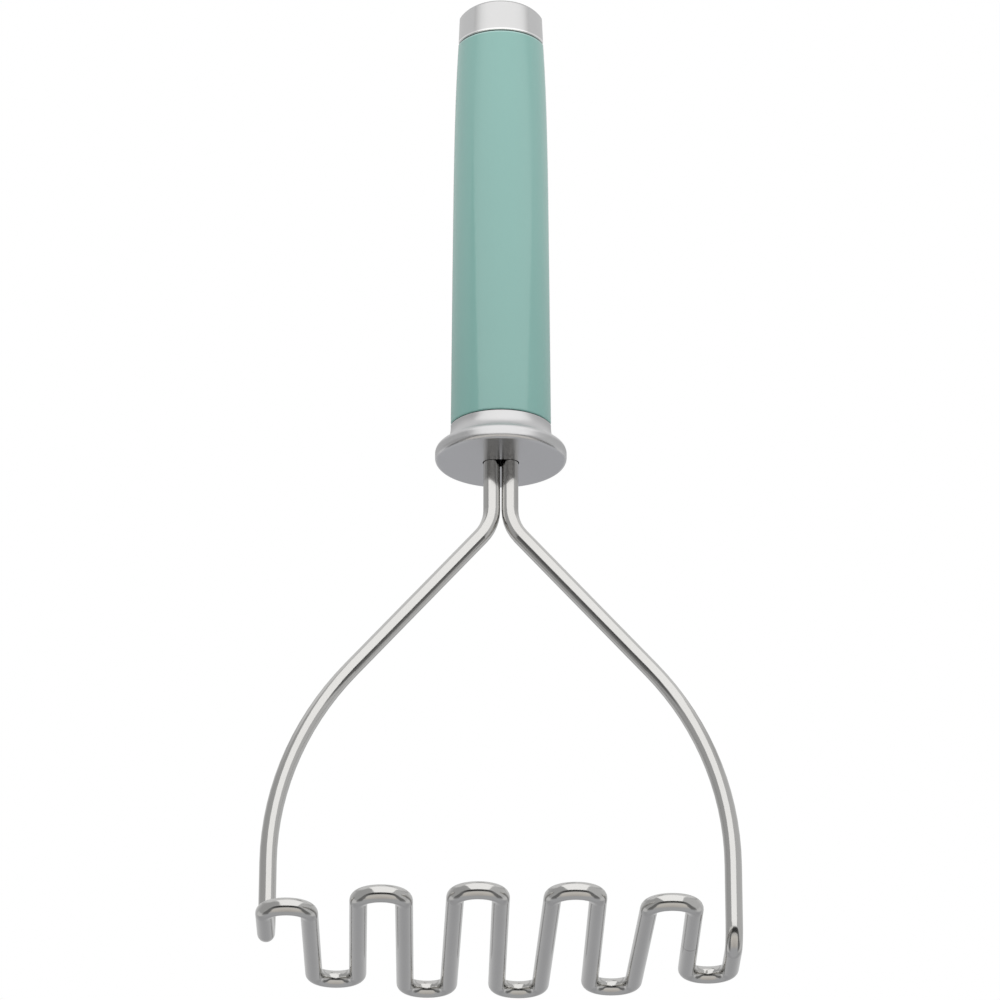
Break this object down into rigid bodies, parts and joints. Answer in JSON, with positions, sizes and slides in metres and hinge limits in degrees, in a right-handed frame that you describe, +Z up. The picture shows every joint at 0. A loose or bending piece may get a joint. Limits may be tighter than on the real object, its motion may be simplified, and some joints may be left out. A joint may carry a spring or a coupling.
{
  "type": "wire potato masher",
  "caption": "Hand masher: one bent steel rod forms a flat zigzag head and two arms, held by a steel collar in an oval plastic handle with a steel end cap.",
  "frame": {"origin": "bottom centre of the mashing head, in the plane that it stands on", "axes": "+Z up the handle, +X across the head between the two arms, +Y along the head's strokes"},
  "size_m": [0.1188, 0.0814, 0.2606],
  "materials": {
    "steel_rod": "polished stainless steel",
    "collar_metal": "satin chrome",
    "cap_metal": "satin stainless steel",
    "handle_plastic": "glossy aqua ABS",
    "core_plastic": "black moulded nylon",
    "fastener_steel": "zinc plated",
    "seal_rubber": "dark silicone"
  },
  "bodies": {
    "root": {"masher_wire": "steel_rod", "collar": "collar_metal", "collar_gasket": "seal_rubber", "handle_shell": "handle_plastic", "core_front": "core_plastic", "core_back": "core_plastic", "core_screws": "fastener_steel", "rod_ferrule": "fastener_steel", "core_nut": "fastener_steel", "end_plug": "core_plastic", "plug_screw": "fastener_steel", "plug_washer": "fastener_steel", "cap_gasket": "seal_rubber", "end_cap": "cap_metal"}
  },
  "joints": []
}
